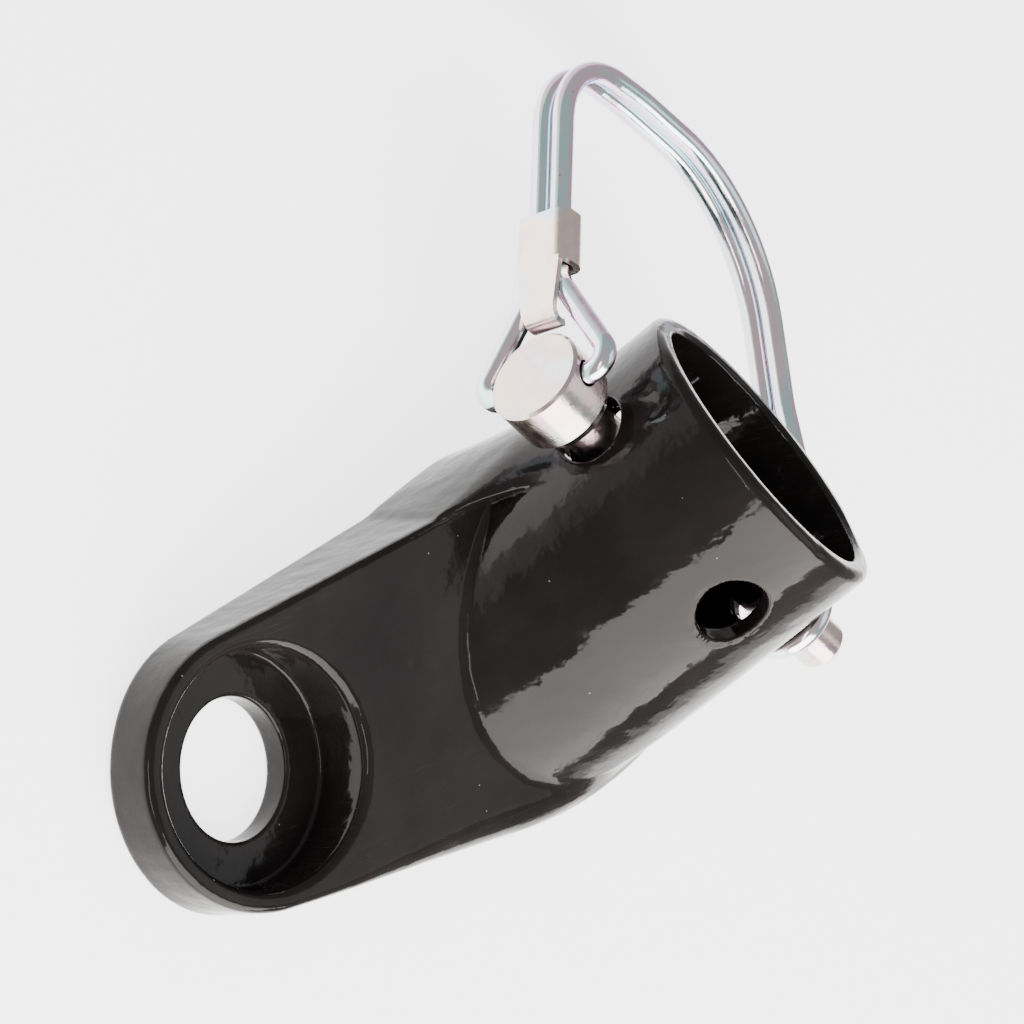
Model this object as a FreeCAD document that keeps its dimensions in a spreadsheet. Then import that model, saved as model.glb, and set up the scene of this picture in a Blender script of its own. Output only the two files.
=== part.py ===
import FreeCAD, Part
import Sketcher
import math
import os

V = FreeCAD.Vector
doc = FreeCAD.newDocument("TrailerCoupler")

# ---------------------------------------------------------------- driving dimensions (mm, degrees)
DIMS = [
    # lug: a cast plate whose flat back lies in the XY plane, hole centre at the origin
    ("lug_end_rad", 15.4), ("lug_flare", 5.85), ("lug_blank_height", 26.0), ("lug_draft", 2.0),
    ("flank_knee_x", 31.0), ("flank_knee_rad", 42.0), ("root_turn", 28.0), ("keep_turn", 35.0),
    ("face_height", 8.35), ("face_slope_x", 8.71), ("face_slope_y", 1.84),
    ("front_edge_rad", 1.0), ("lower_edge_rad", 1.8), ("back_edge_rad", 0.8),
    ("axle_bore_dia", 15.2), ("nut_seat_dia", 25.4), ("web_thickness", 3.3), ("seat_lip_rad", 1.1), ("seat_floor_rad", 0.4), ("axle_edge_rad", 0.4),
    # socket tube: axis through the pin station, tilted up from the back face and turned from the lug line
    ("tube_outer_dia", 36.7), ("socket_dia", 31.5), ("tube_elev", 47.82), ("tube_head", 42.02),
    ("station_x", 56.53), ("station_y", 10.38), ("station_z", 23.02),
    ("mouth_reach", 11.75), ("socket_depth", 25.0), ("mouth_lip_rad", 1.25), ("mouth_inner_rad", 0.7),
    ("cross_hole_dia", 8.0), ("hole_edge_rad", 0.4),
    # lock pin
    ("pin_x", 55.738), ("pin_y", 10.190), ("pin_z", 23.221), ("pin_azim", 131.57), ("pin_elev", 0.877), ("bail_roll", 104.45),
    ("pin_dia", 6.0), ("pin_tip_z", -29.3), ("pin_tip_chamfer", 0.9), ("shoulder_z", 20.8), ("head_base_z", 22.3),
    ("head_face_z", 28.2), ("head_dia", 11.1), ("head_neck_dia", 9.0), ("head_edge", 0.35),
    ("eye_hole_dia", 3.0), ("eye_hole_z", 25.9),
    # bail wire
    ("wire_dia", 2.5), ("strand_pitch", 2.6), ("leg_plane_tilt", 9.34), ("wire_end_gap", 4.8), ("bow_reach", 43.0), ("bow_rad", 10.1), ("loop_rad", 4.45), ("loop_z", -21.6),
    # clip
    ("clip_width", 6.9), ("clip_height", 4.1), ("sheet_thick", 0.75), ("clip_length", 6.4), ("clip_start", 14.2), ("clip_seam", 0.7),
    ("tongue_root", 5.4), ("tongue_end", 3.8), ("tongue_reach", 8.9),
]
sheet = doc.addObject("Spreadsheet::Sheet", "Dims")
for row, (alias, value) in enumerate(DIMS, start=1):
    sheet.set("A%d" % row, alias)
    sheet.set("B%d" % row, repr(float(value)))
    sheet.setAlias("B%d" % row, alias)
doc.recompute()


def dim(name):
    return float(getattr(sheet, name))


def rad(name):
    return math.radians(dim(name))


def frame_placement(base, xdir, ydir, zdir):
    m = FreeCAD.Matrix(xdir.x, ydir.x, zdir.x, base.x,
                       xdir.y, ydir.y, zdir.y, base.y,
                       xdir.z, ydir.z, zdir.z, base.z,
                       0, 0, 0, 1)
    return FreeCAD.Placement(m)


def axis_placement(base, axis):
    return FreeCAD.Placement(base, FreeCAD.Rotation(V(0, 0, 1), axis))


def origin_plane(body, role):
    return [f for f in body.Origin.OriginFeatures if f.Role == role][0]


# ---------------------------------------------------------------- directions
elev, head = rad("tube_elev"), rad("tube_head")
tube_axis = V(math.cos(elev) * math.cos(head), math.cos(elev) * math.sin(head), math.sin(elev))
station = V(dim("station_x"), dim("station_y"), dim("station_z"))
sx, sy = math.tan(rad("face_slope_x")), -math.tan(rad("face_slope_y"))
face_normal = V(-sx, -sy, 1).normalize()          # front face rises towards the tube
az, el = rad("pin_azim"), rad("pin_elev")
pin_axis = V(math.cos(el) * math.cos(az), math.cos(el) * math.sin(az), math.sin(el))
pin_base = V(dim("pin_x"), dim("pin_y"), dim("pin_z"))
level = V(0, 0, 1).cross(pin_axis).normalize()
upward = pin_axis.cross(level)
roll = rad("bail_roll")
eye_axis = (level * math.cos(roll) + upward * math.sin(roll)).normalize()   # wire hole through the head
out_axis = pin_axis.cross(eye_axis).normalize()                            # side the bail stands out to
pin_frame = frame_placement(pin_base, eye_axis, out_axis, pin_axis)
flank_axis = tube_axis.cross(pin_axis)
flank_axis = (flank_axis - tube_axis * flank_axis.dot(tube_axis)).normalize()

# ---------------------------------------------------------------- lug blank: outline pad
lug = doc.addObject("PartDesign::Body", "LugBlank")
sk = lug.newObject("Sketcher::SketchObject", "LugOutline")
sk.AttachmentSupport = [(origin_plane(lug, "XY_Plane"), "")]
sk.MapMode = "FlatFace"
re, fl = dim("lug_end_rad"), rad("lug_flare")
up_t = V(-re * math.sin(fl), re * math.cos(fl), 0)
dn_t = V(up_t.x, -up_t.y, 0)
up_n = V(-math.sin(fl), math.cos(fl), 0)
knee_x, kr = dim("flank_knee_x"), dim("flank_knee_rad")
dn_dir = V(math.cos(fl), -math.sin(fl), 0)
dn_k = dn_t + dn_dir * ((knee_x - dn_t.x) / dn_dir.x)
dn_n = V(-math.sin(fl), -math.cos(fl), 0)
kc = dn_k - dn_n * kr                                # knee arc bends the lower flank inwards under the tube
kt_a = -math.pi / 2 - fl


def knee(turn):
    return kc + V(math.cos(kt_a + turn), math.sin(kt_a + turn), 0) * kr


# the root circle leaves the knee arc tangentially and touches the upper flank
turn = rad("root_turn")
k_end = knee(turn)
k_n = V(-math.sin(turn - fl), math.cos(turn - fl), 0)
rr = (re - up_n.dot(k_end)) / (1 + up_n.dot(k_n))
root_c = k_end + k_n * rr
up_r = root_c + up_n * rr
root_e = root_c + V(rr, 0, 0)                         # furthest point of the root
print("root circle", [round(v, 2) for v in (root_c.x, root_c.y, rr)])


def on_root(p, q):
    return root_c + ((p - root_c).normalize() + (q - root_c).normalize()).normalize() * rr


sk.addGeometry(Part.LineSegment(up_r, up_t), False)
sk.addGeometry(Part.Arc(up_t, V(-re, 0, 0), dn_t), False)
sk.addGeometry(Part.LineSegment(dn_t, dn_k), False)
sk.addGeometry(Part.Arc(dn_k, knee(0.5 * turn), k_end), False)
sk.addGeometry(Part.Arc(k_end, on_root(k_end, root_e), root_e), False)
sk.addGeometry(Part.Arc(root_e, on_root(root_e, up_r), up_r), False)
pad = lug.newObject("PartDesign::Pad", "LugPad")
pad.Profile = sk
pad.setExpression("Length", "Dims.lug_blank_height")
pad.setExpression("TaperAngle", "-Dims.lug_draft")
doc.recompute()

# the sloping front face: everything above it is cut away
slope_tool = doc.addObject("Part::Box", "FrontFaceTool")
slope_tool.Length = 160
slope_tool.Width = 120
slope_tool.Height = 60
ux = V(1, 0, sx).normalize()
uy = face_normal.cross(ux).normalize()
corner = V(0, 0, dim("face_height")) - ux * 60 - uy * 60
slope_tool.Placement = frame_placement(corner, ux, uy, face_normal)
lug_cut = doc.addObject("Part::Cut", "LugWedge")
lug_cut.Base = lug
lug_cut.Tool = slope_tool
doc.recompute()


def on_face(p, tol=0.02):
    return abs((p - V(0, 0, dim("face_height"))).dot(face_normal)) < tol


def edge_mid(e):
    return e.valueAt(0.5 * (e.FirstParameter + e.LastParameter))


def edges_where(shape, test):
    return [i for i, e in enumerate(shape.Edges, start=1) if test(e)]


def add_fillet(name, base, groups):
    f = doc.addObject("Part::Fillet", name)
    f.Base = base
    lst = []
    for ids, r in groups:
        lst += [(i, r, r) for i in ids]
    f.Edges = lst
    doc.recompute()
    return f


def front_rad(p):
    """Edge rounding: small on the upper flank and round the nose, growing along the lower flank."""
    if p.y > -10.0 and p.x < dn_k.x or p.y > 0:
        return dim("front_edge_rad")
    t = min(1.0, max(0.0, (p.x - dn_t.x) / (dn_k.x - dn_t.x)))
    return dim("front_edge_rad") + (dim("lower_edge_rad") - dim("front_edge_rad")) * t


front = edges_where(lug_cut.Shape, lambda e: on_face(edge_mid(e)) and on_face(e.Vertexes[0].Point))
lug_soft = doc.addObject("Part::Fillet", "LugSoft")
lug_soft.Base = lug_cut
lst = []
for i in front:
    e = lug_cut.Shape.Edges[i - 1]
    r1, r2 = front_rad(e.valueAt(e.FirstParameter)), front_rad(e.valueAt(e.LastParameter))
    if root_c.x < edge_mid(e).x and edge_mid(e).x > k_end.x + 2:
        r1 = r2 = None
    print("front edge", i, [round(v, 1) for v in e.valueAt(e.FirstParameter)], [round(v, 1) for v in e.valueAt(e.LastParameter)], r1, r2, e.Orientation)
    if r1 is None:
        continue
    lst.append((i, r1, r2))
lug_soft.Edges = lst
doc.recompute()
print("lug soft", lug_soft.State, lug_soft.Shape.isValid() if not lug_soft.Shape.isNull() else None)

# ---------------------------------------------------------------- tube blank, trimmed by the back plane and the lower flank
tube = doc.addObject("Part::Cylinder", "TubeBlank")
tube.setExpression("Radius", "Dims.tube_outer_dia / 2")
tube.setExpression("Height", "Dims.mouth_reach + 70")
tube.Placement = axis_placement(station - tube_axis * 70, tube_axis)
keep = doc.addObject("PartDesign::Body", "KeepRegion")
ks = keep.newObject("Sketcher::SketchObject", "KeepOutline")
ks.AttachmentSupport = [(origin_plane(keep, "XY_Plane"), "")]
ks.MapMode = "FlatFace"
# the knee arc carries on until it runs nearly along the tube, then a straight wall lets the tube's low side out
run = rad("keep_turn")
k_tan = knee(run)
k_out = k_tan + V(math.cos(run - fl), math.sin(run - fl), 0) * 60
ks.addGeometry(Part.LineSegment(V(-40, 110, 0), V(-40, dn_t.y, 0)), False)
ks.addGeometry(Part.LineSegment(V(-40, dn_t.y, 0), dn_t), False)
ks.addGeometry(Part.LineSegment(dn_t, dn_k), False)
ks.addGeometry(Part.Arc(dn_k, knee(0.5 * run), k_tan), False)
ks.addGeometry(Part.LineSegment(k_tan, k_out), False)
ks.addGeometry(Part.LineSegment(k_out, V(k_out.x, 110, 0)), False)
ks.addGeometry(Part.LineSegment(V(k_out.x, 110, 0), V(-40, 110, 0)), False)
kp = keep.newObject("PartDesign::Pad", "KeepPad")
kp.Profile = ks
kp.Length = 60
kp.setExpression("TaperAngle", "-Dims.lug_draft")
doc.recompute()
tube_trim = doc.addObject("Part::MultiCommon", "TubeTrim")
tube_trim.Shapes = [tube, keep]
doc.recompute()

print("tube trim", round(tube_trim.Shape.Volume, 1), [round(v, 2) for v in (tube_trim.Shape.BoundBox.ZMin, tube_trim.Shape.BoundBox.ZMax)], "keep", round(keep.Shape.Volume, 0))
raw = doc.addObject("Part::MultiFuse", "CouplerRaw")
raw.Shapes = [lug_soft, tube_trim]
raw.Refine = True
doc.recompute()
print("raw solids", len(raw.Shape.Solids), "volume", round(raw.Shape.Volume, 1), "valid", raw.Shape.isValid())

# ---------------------------------------------------------------- holes
def cyl_tool(name, dia_expr, length, base, axis):
    c = doc.addObject("Part::Cylinder", name)
    c.setExpression("Radius", dia_expr + " / 2")
    c.Height = length
    c.Placement = axis_placement(base, axis)
    return c


socket = cyl_tool("SocketTool", "Dims.socket_dia", dim("socket_depth") + 20,
                  station + tube_axis * (dim("mouth_reach") - dim("socket_depth")), tube_axis)
pin_hole = cyl_tool("PinHoleTool", "Dims.cross_hole_dia", 80, pin_base - pin_axis * 40, pin_axis)
flank_hole = cyl_tool("FlankHoleTool", "Dims.cross_hole_dia", 80, station - flank_axis * 40, flank_axis)
axle = cyl_tool("AxleTool", "Dims.axle_bore_dia", 60, V(0, 0, -10), V(0, 0, 1))
seat = cyl_tool("SeatTool", "Dims.nut_seat_dia", 60, V(0, 0, dim("web_thickness")), V(0, 0, 1))
tools = doc.addObject("Part::MultiFuse", "HoleTools")
tools.Shapes = [socket, pin_hole, flank_hole]
lug_tools = doc.addObject("Part::MultiFuse", "LugHoleTools")
lug_tools.Shapes = [axle, seat]
doc.recompute()
cut1 = doc.addObject("Part::Cut", "CouplerBored")
cut1.Base = raw
cut1.Tool = tools
doc.recompute()
cut2 = doc.addObject("Part::Cut", "CouplerCut")
cut2.Base = cut1
cut2.Tool = lug_tools
doc.recompute()


def radial(p, base, axis):
    d = p - base
    return (d - axis * d.dot(axis)).Length


def along(p, base, axis):
    return (p - base).dot(axis)


def mouth_edge(e, r):
    p = edge_mid(e)
    return abs(radial(p, station, tube_axis) - r) < 0.02 and abs(along(p, station, tube_axis) - dim("mouth_reach")) < 0.02


def samples(e):
    n = e.LastParameter - e.FirstParameter
    return [e.valueAt(e.FirstParameter + n * k) for k in (0.15, 0.5, 0.85)]


def ring_at(e, r, z):
    return all(abs(math.hypot(p.x, p.y) - r) < 0.02 and abs(p.z - z) < 0.02 for p in samples(e))


def tube_face_edge(e):
    return all(abs(radial(p, station, tube_axis) - dim("tube_outer_dia") / 2) < 0.02 and on_face(p) for p in samples(e))


def hole_edge(e, base, axis):
    return all(abs(radial(p, base, axis) - dim("cross_hole_dia") / 2) < 0.02
               and abs(radial(p, station, tube_axis) - dim("tube_outer_dia") / 2) < 0.05 for p in samples(e))


seat_r = dim("nut_seat_dia") / 2
back = edges_where(cut2.Shape, lambda e: all(abs(p.z) < 1e-4 and math.hypot(p.x, p.y) > seat_r for p in samples(e)))
outer_mouth = edges_where(cut2.Shape, lambda e: mouth_edge(e, dim("tube_outer_dia") / 2))
inner_mouth = edges_where(cut2.Shape, lambda e: mouth_edge(e, dim("socket_dia") / 2))
seat_lip = edges_where(cut2.Shape, lambda e: all(abs(math.hypot(p.x, p.y) - seat_r) < 0.02 and p.z > dim("web_thickness") + 1.0 for p in samples(e))
                       and len({round(p.z, 3) for p in samples(e)}) > 1)
seat_floor = edges_where(cut2.Shape, lambda e: ring_at(e, seat_r, dim("web_thickness")))
axle_edge = edges_where(cut2.Shape, lambda e: ring_at(e, dim("axle_bore_dia") / 2, dim("web_thickness")))
crease = edges_where(cut2.Shape, tube_face_edge)
holes = edges_where(cut2.Shape, lambda e: hole_edge(e, station, flank_axis) or hole_edge(e, pin_base, pin_axis))
print("mouth", outer_mouth, inner_mouth, "lip", seat_lip, "floor", seat_floor, "axle", axle_edge, "crease", crease, "holes", holes)
GROUPS = [("mouth", outer_mouth, "mouth_lip_rad"), ("mouth_in", inner_mouth, "mouth_inner_rad"), ("lip", seat_lip, "seat_lip_rad"),
          ("floor", seat_floor, "seat_floor_rad"), ("axle", axle_edge, "axle_edge_rad"), ("holes", holes, "hole_edge_rad"), ("back", back, "back_edge_rad")]
body = add_fillet("coupler_body_f", cut2, [(ids, dim(alias)) for nm, ids, alias in GROUPS])
print("fillet state", body.State, body.Shape.isValid() if not body.Shape.isNull() else None, round(body.Shape.Volume, 1) if not body.Shape.isNull() else None)
body.Label = "coupler_body"

# ---------------------------------------------------------------- lock pin: turned head, shank and cross-drilled head
pin = doc.addObject("PartDesign::Body", "LockPin")
pin.Label = "lock_pin"
ps = pin.newObject("Sketcher::SketchObject", "PinProfile")
ps.AttachmentSupport = [(origin_plane(pin, "XZ_Plane"), "")]
ps.MapMode = "FlatFace"
r, hr, hn = dim("pin_dia") / 2, dim("head_dia") / 2, dim("head_neck_dia") / 2
ch, he = dim("pin_tip_chamfer"), dim("head_edge")
prof = [(0, dim("pin_tip_z")), (r - ch, dim("pin_tip_z")), (r, dim("pin_tip_z") + ch * 1.2), (r, dim("shoulder_z")),
        (hn, dim("shoulder_z")), (hr, dim("head_base_z")), (hr, dim("head_face_z") - he), (hr - he, dim("head_face_z")), (0, dim("head_face_z"))]
for i in range(len(prof)):
    (xa, za), (xb, zb) = prof[i], prof[(i + 1) % len(prof)]
    ps.addGeometry(Part.LineSegment(V(xa, za, 0), V(xb, zb, 0)), False)
doc.recompute()
rev = pin.newObject("PartDesign::Revolution", "PinTurned")
rev.Profile = ps
rev.ReferenceAxis = (ps, ["V_Axis"])
rev.Angle = 360
doc.recompute()
v0 = pin.Shape.Volume
hs = pin.newObject("Sketcher::SketchObject", "EyeHole")
hs.AttachmentSupport = [(origin_plane(pin, "YZ_Plane"), "")]
hs.MapMode = "FlatFace"
hs.addGeometry(Part.Circle(V(0, dim("eye_hole_z"), 0), V(0, 0, 1), dim("eye_hole_dia") / 2), False)
hs.addConstraint(Sketcher.Constraint("Radius", 0, dim("eye_hole_dia") / 2))
hs.setExpression("Constraints[0]", "Dims.eye_hole_dia / 2")
doc.recompute()
hp = pin.newObject("PartDesign::Pocket", "EyePocket")
hp.Profile = hs
hp.Length = 40
hp.Midplane = True
doc.recompute()
print("pin volume", round(v0, 2), "->", round(pin.Shape.Volume, 2))
pin.Placement = pin_frame
doc.recompute()

# ---------------------------------------------------------------- bail wire: one wire, both ends in the head, doubled strands, loop round the shank
g = rad("leg_plane_tilt")
hz = dim("eye_hole_z")
sp = dim("strand_pitch") / 2


def leg(c, l):                      # a point in the plane of the legs
    return V(c, l * math.cos(g), hz + l * math.sin(g))


# corner points of one strand (local: x along the head's cross hole, y outwards, z along the pin) and bend radii
WIRE = [(V(dim("wire_end_gap") / 2, 0, hz), 0), (leg(9.4, 0), 2.0), (leg(sp, 12.9), 4.0), (leg(sp, dim("bow_reach")), dim("bow_rad")),
        (V(sp, 45.05, 18.8), 28.0), (V(sp, 47.0, -4.3), 21.2), (V(sp, 24.1, -14.6), 12.2), (V(dim("loop_rad"), 3.6, dim("loop_z")), 4.0),
        (V(dim("loop_rad"), 0, dim("loop_z")), 0)]


def strand(points):
    out, cursor = [], points[0][0]
    for i in range(1, len(points) - 1):
        p, rr_ = points[i]
        d0 = (p - points[i - 1][0]).normalize()
        d1 = (points[i + 1][0] - p).normalize()
        turn = d0.getAngle(d1)
        t = rr_ * math.tan(turn / 2)
        s_, e_ = p - d0 * t, p + d1 * t
        bis = (d1 - d0).normalize()
        cen = p + bis * (rr_ / math.cos(turn / 2))
        mid = cen - bis * rr_
        if (s_ - cursor).Length > 1e-4:
            if (s_ - cursor).dot(d0) < 0:
                print("run too short at point", i, round((s_ - cursor).Length, 2))
            out.append(Part.LineSegment(cursor, s_).toShape())
        out.append(Part.Arc(s_, mid, e_).toShape())
        cursor = e_
    if (points[-1][0] - cursor).Length > 1e-4:
        out.append(Part.LineSegment(cursor, points[-1][0]).toShape())
    return out


plus = strand(WIRE)
loop_r = dim("loop_rad")
end = WIRE[-1][0]
loop = Part.Arc(end, V(0, end.y - loop_r, end.z), V(-end.x, end.y, end.z)).toShape()
minus = []
for e in reversed(plus):
    minus.append(e.mirror(V(0, 0, 0), V(1, 0, 0)))
path = Part.Wire(Part.__sortEdges__(plus + [loop] + minus))
profile = Part.Wire(Part.Circle(WIRE[0][0], V(1, 0, 0), dim("wire_dia") / 2).toShape())
pipe = path.makePipeShell([profile], True, False)
want = math.pi * (dim("wire_dia") / 2) ** 2 * path.Length
print("wire length", round(path.Length, 2), "volume", round(pipe.Volume, 2), "of", round(want, 2), "valid", pipe.isValid(), pipe.ShapeType)
wire = doc.addObject("Part::Feature", "BailWire")
wire.Shape = pipe if pipe.ShapeType == "Solid" else Part.Solid(pipe.Shells[0])
wire.Label = "bail_wire"
wire.Placement = pin_frame

# ---------------------------------------------------------------- clip: a folded sheet band round both strands with a curled tongue
# local: x across the strands, y along them away from the head, z outwards from the leg plane
clip = doc.addObject("PartDesign::Body", "BailClip")
clip.Label = "bail_clip"
cs = clip.newObject("Sketcher::SketchObject", "BandSection")
cs.AttachmentSupport = [(origin_plane(clip, "XZ_Plane"), "")]
cs.MapMode = "FlatFace"
W, H, T = dim("clip_width") / 2, dim("clip_height") / 2, dim("sheet_thick")


def band(w, h, r_, seam):
    """Half-open rounded rectangle from the seam round to the seam, as corner arcs and lines."""
    k = r_ * (1 - math.sqrt(0.5))
    segs = []
    segs.append(("L", V(-seam, -h, 0), V(-w + r_, -h, 0)))
    segs.append(("A", V(-w + r_, -h, 0), V(-w + k, -h + k, 0), V(-w, -h + r_, 0)))
    segs.append(("L", V(-w, -h + r_, 0), V(-w, h - r_, 0)))
    segs.append(("A", V(-w, h - r_, 0), V(-w + k, h - k, 0), V(-w + r_, h, 0)))
    segs.append(("L", V(-w + r_, h, 0), V(w - r_, h, 0)))
    segs.append(("A", V(w - r_, h, 0), V(w - k, h - k, 0), V(w, h - r_, 0)))
    segs.append(("L", V(w, h - r_, 0), V(w, -h + r_, 0)))
    segs.append(("A", V(w, -h + r_, 0), V(w - k, -h + k, 0), V(w - r_, -h, 0)))
    segs.append(("L", V(w - r_, -h, 0), V(seam, -h, 0)))
    return segs


seam = dim("clip_seam") / 2
ro = 1.5
outer, inner = band(W, H, ro, seam), band(W - T, H - T, ro - T * 0.9, seam)
for kind, *p in outer + inner:
    cs.addGeometry(Part.LineSegment(p[0], p[1]) if kind == "L" else Part.Arc(*p), False)
cs.addGeometry(Part.LineSegment(outer[0][1], inner[0][1]), False)
cs.addGeometry(Part.LineSegment(outer[-1][2], inner[-1][2]), False)
cpad = clip.newObject("PartDesign::Pad", "Band")
cpad.Profile = cs
cpad.setExpression("Length", "Dims.clip_length")
doc.recompute()
bb = clip.Shape.BoundBox
if bb.YMin < -1e-6:                 # the pad must run towards +y
    cpad.Reversed = True
    doc.recompute()
bb = clip.Shape.BoundBox
print("clip band", [round(v, 2) for v in (bb.XMin, bb.XMax, bb.YMin, bb.YMax, bb.ZMin, bb.ZMax)])

# tongue: side profile in the YZ plane, padded across, then tapered
reach = dim("clip_start") - dim("tongue_reach")      # straight length in front of the band
curl_r = 1.15
ts = clip.newObject("Sketcher::SketchObject", "TongueProfile")
ts.AttachmentSupport = [(origin_plane(clip, "YZ_Plane"), "")]
ts.MapMode = "FlatFace"
zo, zi = H, H - T
cy, cz = -reach, zi - curl_r
ang = math.radians(115)


def curl(rad_, a):
    return V(cy - rad_ * math.sin(a), cz + rad_ * math.cos(a), 0)


ro_, ri_ = curl_r + T, curl_r
ts.addGeometry(Part.LineSegment(V(0.4, zo, 0), V(cy, zo, 0)), False)
ts.addGeometry(Part.Arc(curl(ro_, 0), curl(ro_, ang / 2), curl(ro_, ang)), False)
ts.addGeometry(Part.LineSegment(curl(ro_, ang), curl(ri_, ang)), False)
ts.addGeometry(Part.Arc(curl(ri_, ang), curl(ri_, ang / 2), curl(ri_, 0)), False)
ts.addGeometry(Part.LineSegment(curl(ri_, 0), V(0.4, zi, 0)), False)
ts.addGeometry(Part.LineSegment(V(0.4, zi, 0), V(0.4, zo, 0)), False)
tp = clip.newObject("PartDesign::Pad", "Tongue")
tp.Profile = ts
tp.setExpression("Length", "Dims.tongue_root")
tp.Midplane = True
doc.recompute()
v1 = clip.Shape.Volume
# taper cut: two triangles along the tongue's edges
tc = clip.newObject("Sketcher::SketchObject", "TongueTaper")
tc.AttachmentSupport = [(origin_plane(clip, "XY_Plane"), "")]
tc.MapMode = "FlatFace"
yr, ye = -0.3, cy - ro_ - 0.5
wr, we = dim("tongue_root") / 2, dim("tongue_end") / 2
for sgn in (1, -1):
    tri = [V(sgn * wr, yr, 0), V(sgn * (we), ye, 0), V(sgn * (wr + 1), ye, 0), V(sgn * (wr + 1), yr, 0)]
    for i in range(4):
        tc.addGeometry(Part.LineSegment(tri[i], tri[(i + 1) % 4]), False)
tq = clip.newObject("PartDesign::Pocket", "TongueTaperCut")
tq.Profile = tc
tq.Length = 20
tq.Midplane = True
doc.recompute()
print("clip volume", round(v1, 2), "->", round(clip.Shape.Volume, 2), "solids", len(clip.Shape.Solids))
leg_y = V(0, math.cos(g), math.sin(g))
leg_z = V(0, -math.sin(g), math.cos(g))
local = frame_placement(leg(0, dim("clip_start")), V(1, 0, 0), leg_y, leg_z)
clip.Placement = pin_frame.multiply(local)
doc.recompute()

# ---------------------------------------------------------------- checks and export
bad = [o.Name for o in doc.Objects if "Invalid" in o.State or "Error" in o.State]
if bad:
    raise RuntimeError("failed objects: %s" % bad)
os.makedirs("parts", exist_ok=True)
for obj in (body, pin, wire, clip):
    shp = obj.Shape
    if shp.isNull() or not shp.isValid():
        raise RuntimeError("bad shape: " + obj.Label)
    if len(shp.Solids) != 1:
        raise RuntimeError("%s has %d solids" % (obj.Label, len(shp.Solids)))
    b = shp.BoundBox
    print(obj.Label, "vol", round(shp.Volume, 1), "box", [round(v, 2) for v in (b.XMin, b.XMax, b.YMin, b.YMax, b.ZMin, b.ZMax)])
    shp.exportStep("parts/%s.step" % obj.Label)
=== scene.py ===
import bpy
import math
import numpy as np
from mathutils import Matrix, Vector


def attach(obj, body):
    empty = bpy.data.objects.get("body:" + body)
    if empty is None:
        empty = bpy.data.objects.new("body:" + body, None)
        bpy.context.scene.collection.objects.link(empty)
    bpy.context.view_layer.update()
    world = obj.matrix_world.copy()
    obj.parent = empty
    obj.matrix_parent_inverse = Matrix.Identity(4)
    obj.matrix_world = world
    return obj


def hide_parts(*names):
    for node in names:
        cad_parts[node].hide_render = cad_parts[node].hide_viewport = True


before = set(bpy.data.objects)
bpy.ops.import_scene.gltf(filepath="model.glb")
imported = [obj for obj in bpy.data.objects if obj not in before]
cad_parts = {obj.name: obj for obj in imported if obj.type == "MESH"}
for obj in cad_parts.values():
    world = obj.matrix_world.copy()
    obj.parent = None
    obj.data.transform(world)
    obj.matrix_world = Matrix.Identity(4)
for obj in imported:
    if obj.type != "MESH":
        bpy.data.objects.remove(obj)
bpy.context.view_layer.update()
scene = bpy.context.scene

# ------------------------------------------------------------------ camera: eye point and axes in the row frame
EYE = Vector((-0.35051507, 0.11483069, 0.37939664))
RIGHT = Vector((0.63412894, -0.22947164, 0.73839234))
UP = Vector((0.2888152, 0.95612481, 0.04910324))
BACK = Vector((-0.71726304, 0.18212115, 0.67258131))

cam_data = bpy.data.cameras.new("photo_camera")
cam = bpy.data.objects.new("photo_camera", cam_data)
bpy.context.collection.objects.link(cam)
cam_data.sensor_width = 36.0
cam_data.lens = 36.0 * 5000.0 / 1024.0
cam_data.clip_start = 0.01
cam_data.clip_end = 20.0
m = Matrix.Identity(4)
for i in range(3):
    m[i][0], m[i][1], m[i][2], m[i][3] = RIGHT[i], UP[i], BACK[i], EYE[i]
cam.matrix_world = m
scene.camera = cam

# ------------------------------------------------------------------ the casting as one smooth surface
# distances in mm, in the row frame; the same dimensions as the CAD solid
T2 = math.tan(math.radians(2.0))
FL = math.radians(5.85)
RE = 15.4
EL, HD = math.radians(47.82), math.radians(42.02)
A = np.array([math.cos(EL) * math.cos(HD), math.cos(EL) * math.sin(HD), math.sin(EL)])
O = np.array([56.53, 10.38, 23.02])
PB = np.array([55.738, 10.190, 23.221])
AZ, PE = math.radians(131.57), math.radians(0.877)
PX = np.array([math.cos(PE) * math.cos(AZ), math.cos(PE) * math.sin(AZ), math.sin(PE)])
FX = np.cross(A, PX)
FX -= A * FX.dot(A)
FX /= np.linalg.norm(FX)
SX, SY = math.tan(math.radians(8.71)), -math.tan(math.radians(1.84))
FN = np.array([-SX, -SY, 1.0])
FN /= np.linalg.norm(FN)
R_OUT, R_IN, MOUTH, FLOOR_A = 18.35, 15.75, 11.75, 11.75 - 25.0


def unit(a):
    return np.array([math.cos(a), math.sin(a)])


UP_N = np.array([-math.sin(FL), math.cos(FL)])
DN_N = np.array([-math.sin(FL), -math.cos(FL)])
DN_T = RE * DN_N
DN_D = np.array([math.cos(FL), -math.sin(FL)])
KNEE_R = 42.0
DN_K = DN_T + DN_D * ((31.0 - DN_T[0]) / DN_D[0])
KC = DN_K - DN_N * KNEE_R
KA = -math.pi / 2 - FL


def knee(t):
    return KC + unit(KA + t) * KNEE_R


TURN = math.radians(28.0)
K_END = knee(TURN)
K_N = np.array([-math.sin(TURN - FL), math.cos(TURN - FL)])
RR = (RE - UP_N.dot(K_END)) / (1 + UP_N.dot(K_N))
RC = K_END + K_N * RR
UP_R = RC + UP_N * RR


def arc(c, r, a0, a1, n):
    return [c + r * unit(a0 + (a1 - a0) * k / n) for k in range(n)]


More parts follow.
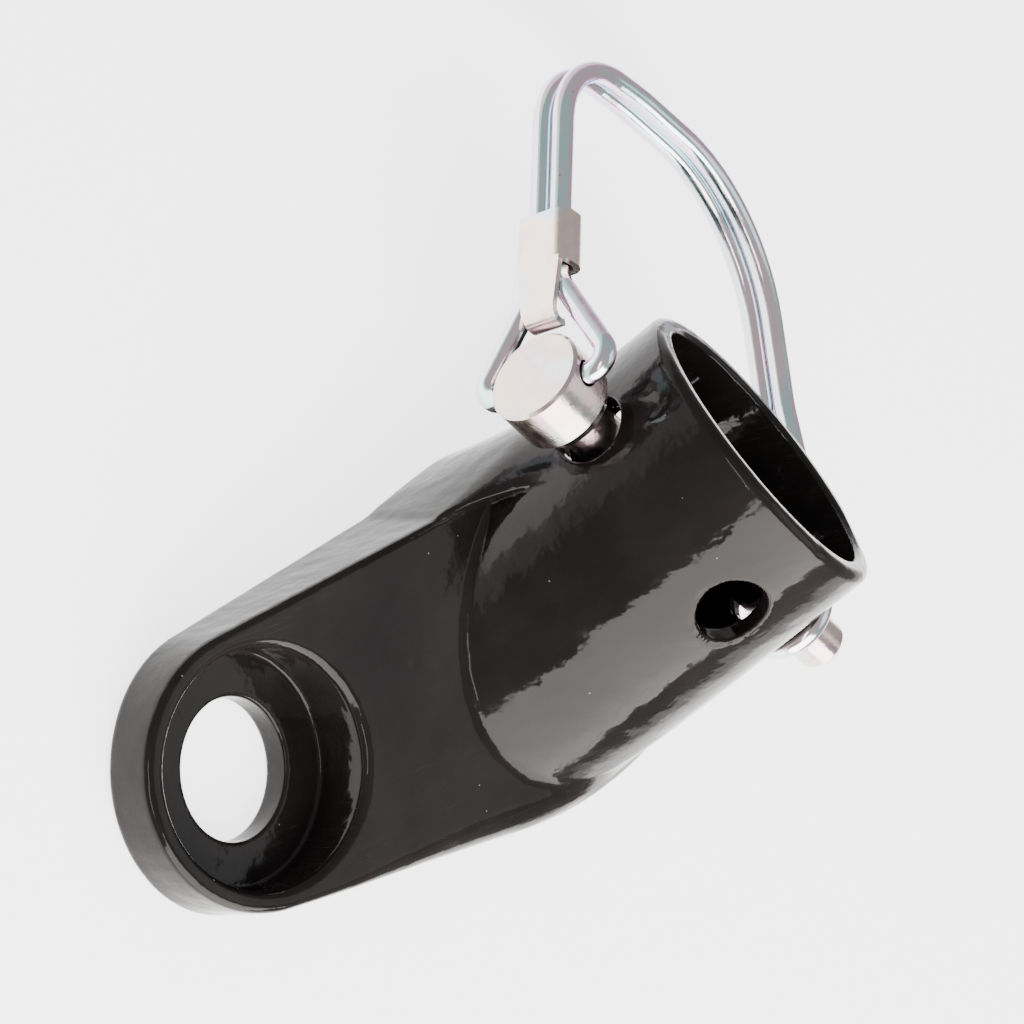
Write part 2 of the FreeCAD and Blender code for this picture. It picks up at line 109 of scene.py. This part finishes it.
a_up = math.atan2(UP_N[1], UP_N[0])
a_dn = math.atan2(DN_N[1], DN_N[0])
lug_poly = arc(np.zeros(2), RE, a_up, a_dn + 2 * math.pi, 90)
lug_poly += arc(KC, KNEE_R, KA, KA + TURN, 40)
lug_poly += arc(RC, RR, KA + TURN, a_up, 90)
lug_poly = np.array(lug_poly)
KEEP = math.radians(42.0)
k_tan = knee(KEEP)
k_dir = unit(KEEP - FL)
keep_poly = [np.array([-60.0, 120.0]), np.array([-60.0, -15.0]), DN_T] + arc(KC, KNEE_R, KA, KA + KEEP, 60) + [k_tan, k_tan + k_dir * 80, np.array([140.0, 120.0])]
keep_poly = np.array(keep_poly)


def poly_distance(poly, px, py):
    """Signed distance to a closed polygon, negative inside."""
    best = np.full(px.shape, 1e9)
    inside = np.zeros(px.shape, bool)
    n = len(poly)
    for i in range(n):
        ax, ay = poly[i]
        bx, by = poly[(i + 1) % n]
        ex, ey = bx - ax, by - ay
        ll = ex * ex + ey * ey
        if ll < 1e-12:
            continue
        t = np.clip(((px - ax) * ex + (py - ay) * ey) / ll, 0, 1)
        dx, dy = px - ax - ex * t, py - ay - ey * t
        best = np.minimum(best, dx * dx + dy * dy)
        if ay != by:
            cross = ((ay > py) != (by > py)) & (px < (bx - ax) * (py - ay) / (by - ay) + ax)
            inside ^= cross
    d = np.sqrt(best)
    return np.where(inside, -d, d)


# the outlines' distances are read from a fine table
GX0, GY0, GS = -22.0, -32.0, 0.25
gx = np.arange(GX0, 90.0, GS)
gy = np.arange(GY0, 44.0, GS)
GXX, GYY = np.meshgrid(gx, gy, indexing="ij")
TAB = {"lug": poly_distance(lug_poly, GXX, GYY), "keep": poly_distance(keep_poly, GXX, GYY)}


def lookup(name, x, y):
    t = TAB[name]
    u = np.clip((x - GX0) / GS, 0, t.shape[0] - 1.001)
    v = np.clip((y - GY0) / GS, 0, t.shape[1] - 1.001)
    i, j = u.astype(int), v.astype(int)
    fu, fv = u - i, v - j
    return (t[i, j] * (1 - fu) + t[i + 1, j] * fu) * (1 - fv) + (t[i, j + 1] * (1 - fu) + t[i + 1, j + 1] * fu) * fv


def smax(a, b, r):
    """Intersection with a round edge of radius r."""
    return np.minimum(np.maximum(a, b), -r) + np.sqrt(np.maximum(a + r, 0) ** 2 + np.maximum(b + r, 0) ** 2)


def smin(a, b, r):
    """Union with a round fillet of radius r."""
    return -smax(-a, -b, r)


def step(a, b, x):
    t = np.clip((x - a) / (b - a), 0, 1)
    return t * t * (3 - 2 * t)


def hash_noise(x, y, z, seed):
    """Smooth value noise in -1..1."""
    rng = np.random.default_rng(seed)
    tab = rng.uniform(-1, 1, (32, 32, 32))
    xi, yi, zi = np.floor(x).astype(int), np.floor(y).astype(int), np.floor(z).astype(int)
    fx, fy, fz = x - xi, y - yi, z - zi
    fx, fy, fz = (f * f * (3 - 2 * f) for f in (fx, fy, fz))
    out = 0
    for dx in (0, 1):
        for dy in (0, 1):
            for dz in (0, 1):
                w = (fx if dx else 1 - fx) * (fy if dy else 1 - fy) * (fz if dz else 1 - fz)
                out = out + w * tab[(xi + dx) % 32, (yi + dy) % 32, (zi + dz) % 32]
    return out


def casting(x, y, z):
    """Distance to the casting's skin (mm), negative inside."""
    rx, ry, rz = x - O[0], y - O[1], z - O[2]
    al = rx * A[0] + ry * A[1] + rz * A[2]
    r = np.sqrt(np.maximum(rx * rx + ry * ry + rz * rz - al * al, 1e-9))
    cosd = math.cos(math.radians(2.0))
    wall = (lookup("lug", x, y) + z * T2) * cosd
    keep = (lookup("keep", x, y) + z * T2) * cosd
    face = x * FN[0] + y * FN[1] + (z - 8.35) * FN[2]
    low = step(0.0, 30.0, x) * step(-6.0, -12.0, y)
    lug = smax(wall, face, 0.9 + 3.0 * low)
    tube = smax(r - R_OUT, al - MOUTH, 1.25)
    tube = smax(tube, keep, 3.0)
    # crisp where the front face meets the tube, soft where the flanks run into it
    soft = step(-1.3, 0.4, wall)
    high = step(-2.0, 8.0, y)
    blend = 0.75 + soft * (2.2 + 4.3 * high)
    d = smin(lug, tube, blend)
    d = smax(d, -z, 0.8)
    sock = np.maximum(r - R_IN, FLOOR_A - al)
    d = smax(d, -sock, 0.7)
    for base, ax in ((PB, PX), (O, FX)):
        qx, qy, qz = x - base[0], y - base[1], z - base[2]
        t = qx * ax[0] + qy * ax[1] + qz * ax[2]
        q = np.sqrt(np.maximum(qx * qx + qy * qy + qz * qz - t * t, 1e-9))
        d = smax(d, 4.0 - q, 0.45)
    rho = np.sqrt(x * x + y * y)
    seat = smax(rho - 12.7, 3.3 - z, 0.5)
    d = smax(d, -seat, 1.15)
    d = smax(d, 7.6 - rho, 0.5)
    return d


FLAWS = ((21.57, 4.45, 11.51, 0.7, 0.12), (53.35, 5.82, 43.78, 0.8, 0.14))


def lifted(x, y, z):
    """The same skin with the slow waviness of a painted casting, and its few flaws."""
    d = casting(x, y, z)
    w = 0.020 * hash_noise(x / 9.0, y / 9.0, z / 9.0, 3) + 0.010 * hash_noise(x / 3.1 + 7, y / 3.1, z / 3.1, 4)
    # a pit in the front face, a nick in the rim and a curled lip of paint round the spare hole
    for fx, fy, fz, rad, deep in FLAWS:
        q = ((x - fx) ** 2 + (y - fy) ** 2 + (z - fz) ** 2) / (rad * rad)
        w = w + deep * np.exp(-q)
    hx, hy, hz = x - O[0], y - O[1], z - O[2]
    t = hx * FX[0] + hy * FX[1] + hz * FX[2]
    q = np.sqrt(np.maximum(hx * hx + hy * hy + hz * hz - t * t, 1e-9))
    al = hx * A[0] + hy * A[1] + hz * A[2]
    ragged = 0.5 + 0.5 * hash_noise(x / 1.1, y / 1.1 + 3, z / 1.1, 9)
    w = w + 0.16 * ragged * np.exp(-((q - 4.45) / 0.35) ** 2) * step(-3.4, 0.0, -al) * step(8.0, 12.0, t)
    return d + 0.03 + w


VOX = 0.36
lo = np.array([-16.4, -21.6, -1.0])
hi = np.array([79.4, 34.6, 46.0])
n = np.ceil((hi - lo) / VOX).astype(int) + 1
xs, ys, zs = (lo[k] + VOX * np.arange(n[k]) for k in range(3))
D = np.empty(n, np.float32)
for k in range(n[2]):
    X, Y = np.meshgrid(xs, ys, indexing="ij")
    D[:, :, k] = lifted(X, Y, np.full_like(X, zs[k]))

# surface nets: one vertex in each cell that the skin crosses
S = D < 0
c = np.zeros(tuple(n - 1), np.uint8)
for dx in (0, 1):
    for dy in (0, 1):
        for dz in (0, 1):
            c += S[dx:n[0] - 1 + dx, dy:n[1] - 1 + dy, dz:n[2] - 1 + dz]
cell = (c > 0) & (c < 8)
idx = np.full(cell.shape, -1, np.int64)
ci = np.argwhere(cell)
idx[tuple(ci.T)] = np.arange(len(ci))
acc = np.zeros((len(ci), 3))
cnt = np.zeros(len(ci))
for ax in range(3):
    o1, o2 = [k for k in range(3) if k != ax]
    for u in (0, 1):
        for v in (0, 1):
            p0 = ci.copy()
            p0[:, o1] += u
            p0[:, o2] += v
            p1 = p0.copy()
            p1[:, ax] += 1
            d0, d1 = D[tuple(p0.T)].astype(float), D[tuple(p1.T)].astype(float)
            hit = (d0 < 0) != (d1 < 0)
            t = np.where(hit, d0 / np.where(hit, d0 - d1, 1), 0)
            q = (p0 - ci).astype(float)
            q[:, ax] += t
            acc[hit] += q[hit]
            cnt[hit] += 1
verts = lo + (ci + acc / cnt[:, None]) * VOX
faces = []
for ax in range(3):
    o1, o2 = (ax + 1) % 3, (ax + 2) % 3
    sl0 = [slice(None)] * 3
    sl1 = [slice(None)] * 3
    sl0[ax] = slice(0, n[ax] - 1)
    sl1[ax] = slice(1, n[ax])
    a_, b_ = S[tuple(sl0)], S[tuple(sl1)]
    e = np.argwhere(a_ != b_)
    ok = (e[:, o1] > 0) & (e[:, o2] > 0) & (e[:, o1] < n[o1] - 1) & (e[:, o2] < n[o2] - 1)
    e = e[ok]
    flip = a_[tuple(e.T)]
    quad = []
    for u, v in ((-1, -1), (0, -1), (0, 0), (-1, 0)):
        q = e.copy()
        q[:, o1] += u
        q[:, o2] += v
        quad.append(idx[tuple(q.T)])
    quad = np.stack(quad, 1)
    quad[~flip] = quad[~flip][:, ::-1]
    faces.append(quad)
faces = np.concatenate(faces)


def gradient(p, h=0.02):
    g = np.empty_like(p)
    for k in range(3):
        a_, b_ = p.copy(), p.copy()
        a_[:, k] += h
        b_[:, k] -= h
        g[:, k] = (lifted(*a_.T) - lifted(*b_.T)) / (2 * h)
    return g


for _ in range(4):
    g = gradient(verts)
    dist = lifted(*verts.T)
    gg = np.maximum((g * g).sum(1), 0.05)
    move = g * (dist / gg)[:, None]
    ln = np.linalg.norm(move, axis=1)
    move *= np.minimum(1, 0.3 * VOX / np.maximum(ln, 1e-9))[:, None]
    verts = verts - move
g = gradient(verts)
normals = g / np.maximum(np.linalg.norm(g, axis=1), 1e-9)[:, None]
print("casting", len(verts), "vertices", len(faces), "faces", verts.min(0), verts.max(0))

me = bpy.data.meshes.new("coupler_casting")
me.vertices.add(len(verts))
me.vertices.foreach_set("co", (verts * 0.001).astype(np.float32).ravel())
me.loops.add(len(faces) * 4)
me.loops.foreach_set("vertex_index", faces.astype(np.int32).ravel())
me.polygons.add(len(faces))
me.polygons.foreach_set("loop_start", (np.arange(len(faces)) * 4).astype(np.int32))
me.polygons.foreach_set("loop_total", np.full(len(faces), 4, np.int32))
me.update(calc_edges=True)
me.validate()
me.polygons.foreach_set("use_smooth", np.ones(len(me.polygons), bool))
me.normals_split_custom_set_from_vertices([tuple(v) for v in normals])
casting_obj = bpy.data.objects.new("coupler_casting", me)
bpy.context.collection.objects.link(casting_obj)
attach(casting_obj, "coupler")
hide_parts("coupler_body")


# ------------------------------------------------------------------ materials
class Look:
    """A node material; the texture space is the object's own, in metres."""

    def __init__(self, name):
        self.mat = bpy.data.materials.new(name)
        self.mat.use_nodes = True
        self.tree = self.mat.node_tree
        self.bsdf = self.tree.nodes["Principled BSDF"]
        self.co = self.tree.nodes.new("ShaderNodeTexCoord").outputs["Object"]

    def put(self, value, socket):
        if isinstance(value, bpy.types.NodeSocket):
            self.tree.links.new(value, socket)
        else:
            socket.default_value = value

    def noise(self, scale, detail=3.0, stretch=None, turn=(0, 0, 0)):
        nd = self.tree.nodes.new("ShaderNodeTexNoise")
        nd.inputs["Scale"].default_value = scale
        nd.inputs["Detail"].default_value = detail
        src = self.co
        if stretch:
            mp = self.tree.nodes.new("ShaderNodeMapping")
            mp.inputs["Scale"].default_value = stretch
            mp.inputs["Rotation"].default_value = turn
            self.tree.links.new(src, mp.inputs["Vector"])
            src = mp.outputs["Vector"]
        self.tree.links.new(src, nd.inputs["Vector"])
        return nd.outputs[0]

    def ramp(self, fac, stops):
        nd = self.tree.nodes.new("ShaderNodeValToRGB")
        el = nd.color_ramp.elements
        while len(el) < len(stops):
            el.new(0.5)
        for e, (pos, col) in zip(el, stops):
            e.position = pos
            e.color = (*col, 1) if isinstance(col, tuple) else (col, col, col, 1)
        self.put(fac, nd.inputs["Fac"])
        return nd.outputs["Color"]

    def math(self, op, a, b=0.0):
        nd = self.tree.nodes.new("ShaderNodeMath")
        nd.operation = op
        self.put(a, nd.inputs[0])
        self.put(b, nd.inputs[1])
        return nd.outputs[0]

    def mix(self, fac, a, b):
        nd = self.tree.nodes.new("ShaderNodeMix")
        nd.data_type = "RGBA"
        self.put(fac, nd.inputs[0])
        self.put(a if isinstance(a, bpy.types.NodeSocket) else (*a, 1), nd.inputs[6])
        self.put(b if isinstance(b, bpy.types.NodeSocket) else (*b, 1), nd.inputs[7])
        return nd.outputs[2]

    def bump(self, height, distance, normal=None):
        nd = self.tree.nodes.new("ShaderNodeBump")
        nd.inputs["Strength"].default_value = 1.0
        nd.inputs["Distance"].default_value = distance
        self.put(height, nd.inputs["Height"])
        if normal is not None:
            self.put(normal, nd.inputs["Normal"])
        return nd.outputs["Normal"]

    def along(self, axis):
        nd = self.tree.nodes.new("ShaderNodeVectorMath")
        nd.operation = "DOT_PRODUCT"
        self.put(self.co, nd.inputs[0])
        nd.inputs[1].default_value = tuple(float(v) for v in axis)
        return nd.outputs["Value"]

    def specks(self, scale, size, share):
        """Sparse dots: 1 inside a speck, 0 elsewhere."""
        nd = self.tree.nodes.new("ShaderNodeTexVoronoi")
        nd.inputs["Scale"].default_value = scale
        self.put(self.co, nd.inputs["Vector"])
        sp = self.tree.nodes.new("ShaderNodeSeparateColor")
        self.put(nd.outputs["Color"], sp.inputs[0])
        near = self.math("LESS_THAN", nd.outputs["Distance"], size)
        few = self.math("GREATER_THAN", sp.outputs[0], 1.0 - share)
        return self.math("MULTIPLY", near, few)

    def set(self, **kw):
        for key, value in kw.items():
            self.put(value, self.bsdf.inputs[key.replace("_", " ")])


paint = Look("black_paint")
tone = paint.ramp(paint.noise(70, 6), [(0.3, (0.0055, 0.0050, 0.0050)), (0.7, (0.0135, 0.0115, 0.0110))])
dust = paint.specks(700, 0.07, 0.06)
grit = paint.specks(1600, 0.10, 0.03)
hair = paint.ramp(paint.noise(30, 2, (1.0, 38.0, 1.0), (0.4, 0.2, 0.75)), [(0.492, 0.0), (0.5, 1.0), (0.508, 0.0)])
rubbed = paint.ramp(paint.noise(45, 3), [(0.52, 0.0), (0.66, 1.0)])
hair = paint.math("MULTIPLY", hair, rubbed)
tone = paint.mix(paint.math("MULTIPLY", dust, 0.75), tone, (0.22, 0.20, 0.19))
tone = paint.mix(paint.math("MULTIPLY", hair, 0.10), tone, (0.10, 0.09, 0.09))
gloss = paint.ramp(paint.noise(230, 5), [(0.3, 0.055), (0.72, 0.15)])
gloss = paint.math("ADD", gloss, paint.math("MULTIPLY", paint.math("MAXIMUM", dust, hair), 0.22))
skin = paint.bump(paint.noise(110, 2), 0.00028)
skin = paint.bump(paint.noise(430, 2), 0.000085, skin)
skin = paint.bump(paint.noise(2600, 3), 0.0000035, skin)
skin = paint.bump(grit, 0.00003, skin)
skin = paint.bump(hair, -0.000004, skin)
paint.set(Base_Color=tone, Roughness=gloss, Normal=skin)
paint.bsdf.inputs["IOR"].default_value = 1.28

pin = Look("zinc_pin")
tint = pin.ramp(pin.noise(150, 4), [(0.30, (0.60, 0.68, 0.67)), (0.45, (0.72, 0.52, 0.57)), (0.58, (0.74, 0.64, 0.54)), (0.72, (0.68, 0.53, 0.66))])
fleck = pin.ramp(pin.noise(1800, 4), [(0.42, 0.0), (0.60, 1.0)])
tint = pin.mix(pin.math("MULTIPLY", fleck, 0.16), tint, (0.42, 0.46, 0.42))
ring = pin.math("SINE", pin.math("MULTIPLY", pin.along(PX), 2 * math.pi / 0.00022))
skin = pin.bump(ring, 0.0000012)
skin = pin.bump(pin.noise(2400, 4), 0.000022, skin)
skin = pin.bump(pin.noise(330, 2), 0.00005, skin)
pin.set(Base_Color=tint, Roughness=pin.ramp(pin.noise(600, 4), [(0.3, 0.13), (0.7, 0.27)]), Normal=skin)
pin.bsdf.inputs["Metallic"].default_value = 1.0

wire = Look("zinc_wire")
lw = wire.tree.nodes.new("ShaderNodeLayerWeight")
lw.inputs["Blend"].default_value = 0.4
film = wire.math("ADD", lw.outputs["Facing"], wire.math("MULTIPLY", wire.math("SUBTRACT", wire.noise(85, 3), 0.5), 0.9))
tint = wire.ramp(film, [(0.05, (0.88, 0.74, 0.80)), (0.25, (0.56, 0.85, 0.86)), (0.45, (0.92, 0.62, 0.76)), (0.65, (0.66, 0.62, 0.92)), (0.9, (0.52, 0.76, 0.70))])
soil = wire.specks(900, 0.12, 0.08)
tint = wire.mix(wire.math("MULTIPLY", soil, 0.5), tint, (0.30, 0.29, 0.27))
skin = wire.bump(wire.noise(420, 2), 0.00003)
skin = wire.bump(wire.noise(2600, 3), 0.000006, skin)
wire.set(Base_Color=tint, Roughness=wire.ramp(wire.noise(500, 4), [(0.3, 0.10), (0.7, 0.22)]), Normal=skin)
wire.bsdf.inputs["Metallic"].default_value = 1.0

clip = Look("zinc_clip")
tint = clip.ramp(clip.noise(190, 4), [(0.32, (0.82, 0.58, 0.65)), (0.50, (0.86, 0.74, 0.64)), (0.66, (0.64, 0.74, 0.78))])
grain = clip.noise(900, 3, (0.12, 1.0, 1.0), (0, 0, 1.05))
skin = clip.bump(grain, 0.000012)
skin = clip.bump(clip.noise(300, 2), 0.00004, skin)
clip.set(Base_Color=tint, Roughness=clip.ramp(grain, [(0.3, 0.16), (0.7, 0.32)]), Normal=skin)
clip.bsdf.inputs["Metallic"].default_value = 1.0

mats = {"coupler_body": paint.mat, "lock_pin": pin.mat, "bail_wire": wire.mat, "bail_clip": clip.mat}
for nm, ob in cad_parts.items():
    for sl in ob.material_slots:
        sl.material = mats[nm]
casting_obj.data.materials.append(mats["coupler_body"])

# ------------------------------------------------------------------ floor and light
fm = bpy.data.meshes.new("floor")
fm.from_pydata([(-4, -4, -0.0002), (4, -4, -0.0002), (4, 4, -0.0002), (-4, 4, -0.0002)], [], [(0, 1, 2, 3)])
floor = bpy.data.objects.new("floor", fm)
bpy.context.collection.objects.link(floor)
lit = Look("floor")
# a painted pool of light on the table: the floor itself glows bright under and round the part, hiding its shadow, plain
# pale card further out
off = lit.tree.nodes.new("ShaderNodeVectorMath")
off.operation = "DISTANCE"
lit.put(lit.co, off.inputs[0])
off.inputs[1].default_value = (0.06, 0.005, 0.0)
painted_glow = lit.ramp(off.outputs["Value"], [(0.135, 1.0), (0.19, 0.06), (0.5, 0.02)])
for way, edge in (((-0.945, 0.328, 0.0), 0.034), ((0.2145, 0.9767, 0.0), 0.086)):
    past = lit.math("SUBTRACT", lit.along(way), edge)
    painted_glow = lit.math("MULTIPLY", painted_glow, lit.ramp(past, [(0.0, 1.0), (0.012, 0.05)]))
paper = lit.noise(900, 4)
lit.set(Base_Color=lit.ramp(paper, [(0.3, (0.84, 0.84, 0.84)), (0.7, (0.88, 0.88, 0.88))]), Normal=lit.bump(paper, 0.00002))
# the painted pool of light is the floor's own emission, not a lamp
lit.set(Emission_Color=(1.0, 0.99, 0.985, 1.0), Emission_Strength=lit.math("MULTIPLY", painted_glow, 3.0))
lit.bsdf.inputs["Roughness"].default_value = 0.75
floor.data.materials.append(lit.mat)

w = bpy.data.worlds.new("studio")
w.use_nodes = True
w.node_tree.nodes["Background"].inputs[0].default_value = (1.0, 0.985, 0.97, 1)
w.node_tree.nodes["Background"].inputs[1].default_value = 0.5
scene.world = w


def panel(name, centre, aim, size, radiance, up="Y", tint=(1, 1, 1)):
    """A flat softbox of the given brightness."""
    ld = bpy.data.lights.new(name, "AREA")
    ld.shape = "RECTANGLE"
    ld.size, ld.size_y = size
    ld.energy = radiance * math.pi * size[0] * size[1]
    ld.color = tint
    lo_ = bpy.data.objects.new(name, ld)
    bpy.context.collection.objects.link(lo_)
    c_, a_ = Vector(centre), Vector(aim)
    back = (c_ - a_).normalized()
    wide = Vector(up) if not isinstance(up, str) else Vector((0, 1, 0)).cross(back)
    wide = (wide - back * wide.dot(back)).normalized()
    tall = back.cross(wide)
    rot = Matrix((wide, tall, back)).transposed().to_4x4()
    lo_.matrix_world = Matrix.Translation(c_) @ rot
    return lo_


mid = Vector((0.045, 0.004, 0.028))
# the long box in front: its two edges bound the pale band along the tube
panel("front_box", mid + Vector((-0.36, -0.84, 0.41)) * 0.8, mid, (1.06, 0.9), 10.0, (0.832, -0.486, -0.268), (1, 0.95, 0.91))
# a dim overhead that the flat front face mirrors
panel("top_box", mid + Vector((0.455, -0.155, 0.875)) * 1.1, mid, (0.75, 0.75), 1.1)
# a small strip behind the camera for the lips and the pin head's bright bar
panel("strip", mid + Vector((-0.80, 0.05, 0.60)) * 0.9, mid, (0.10, 0.5), 9.0)
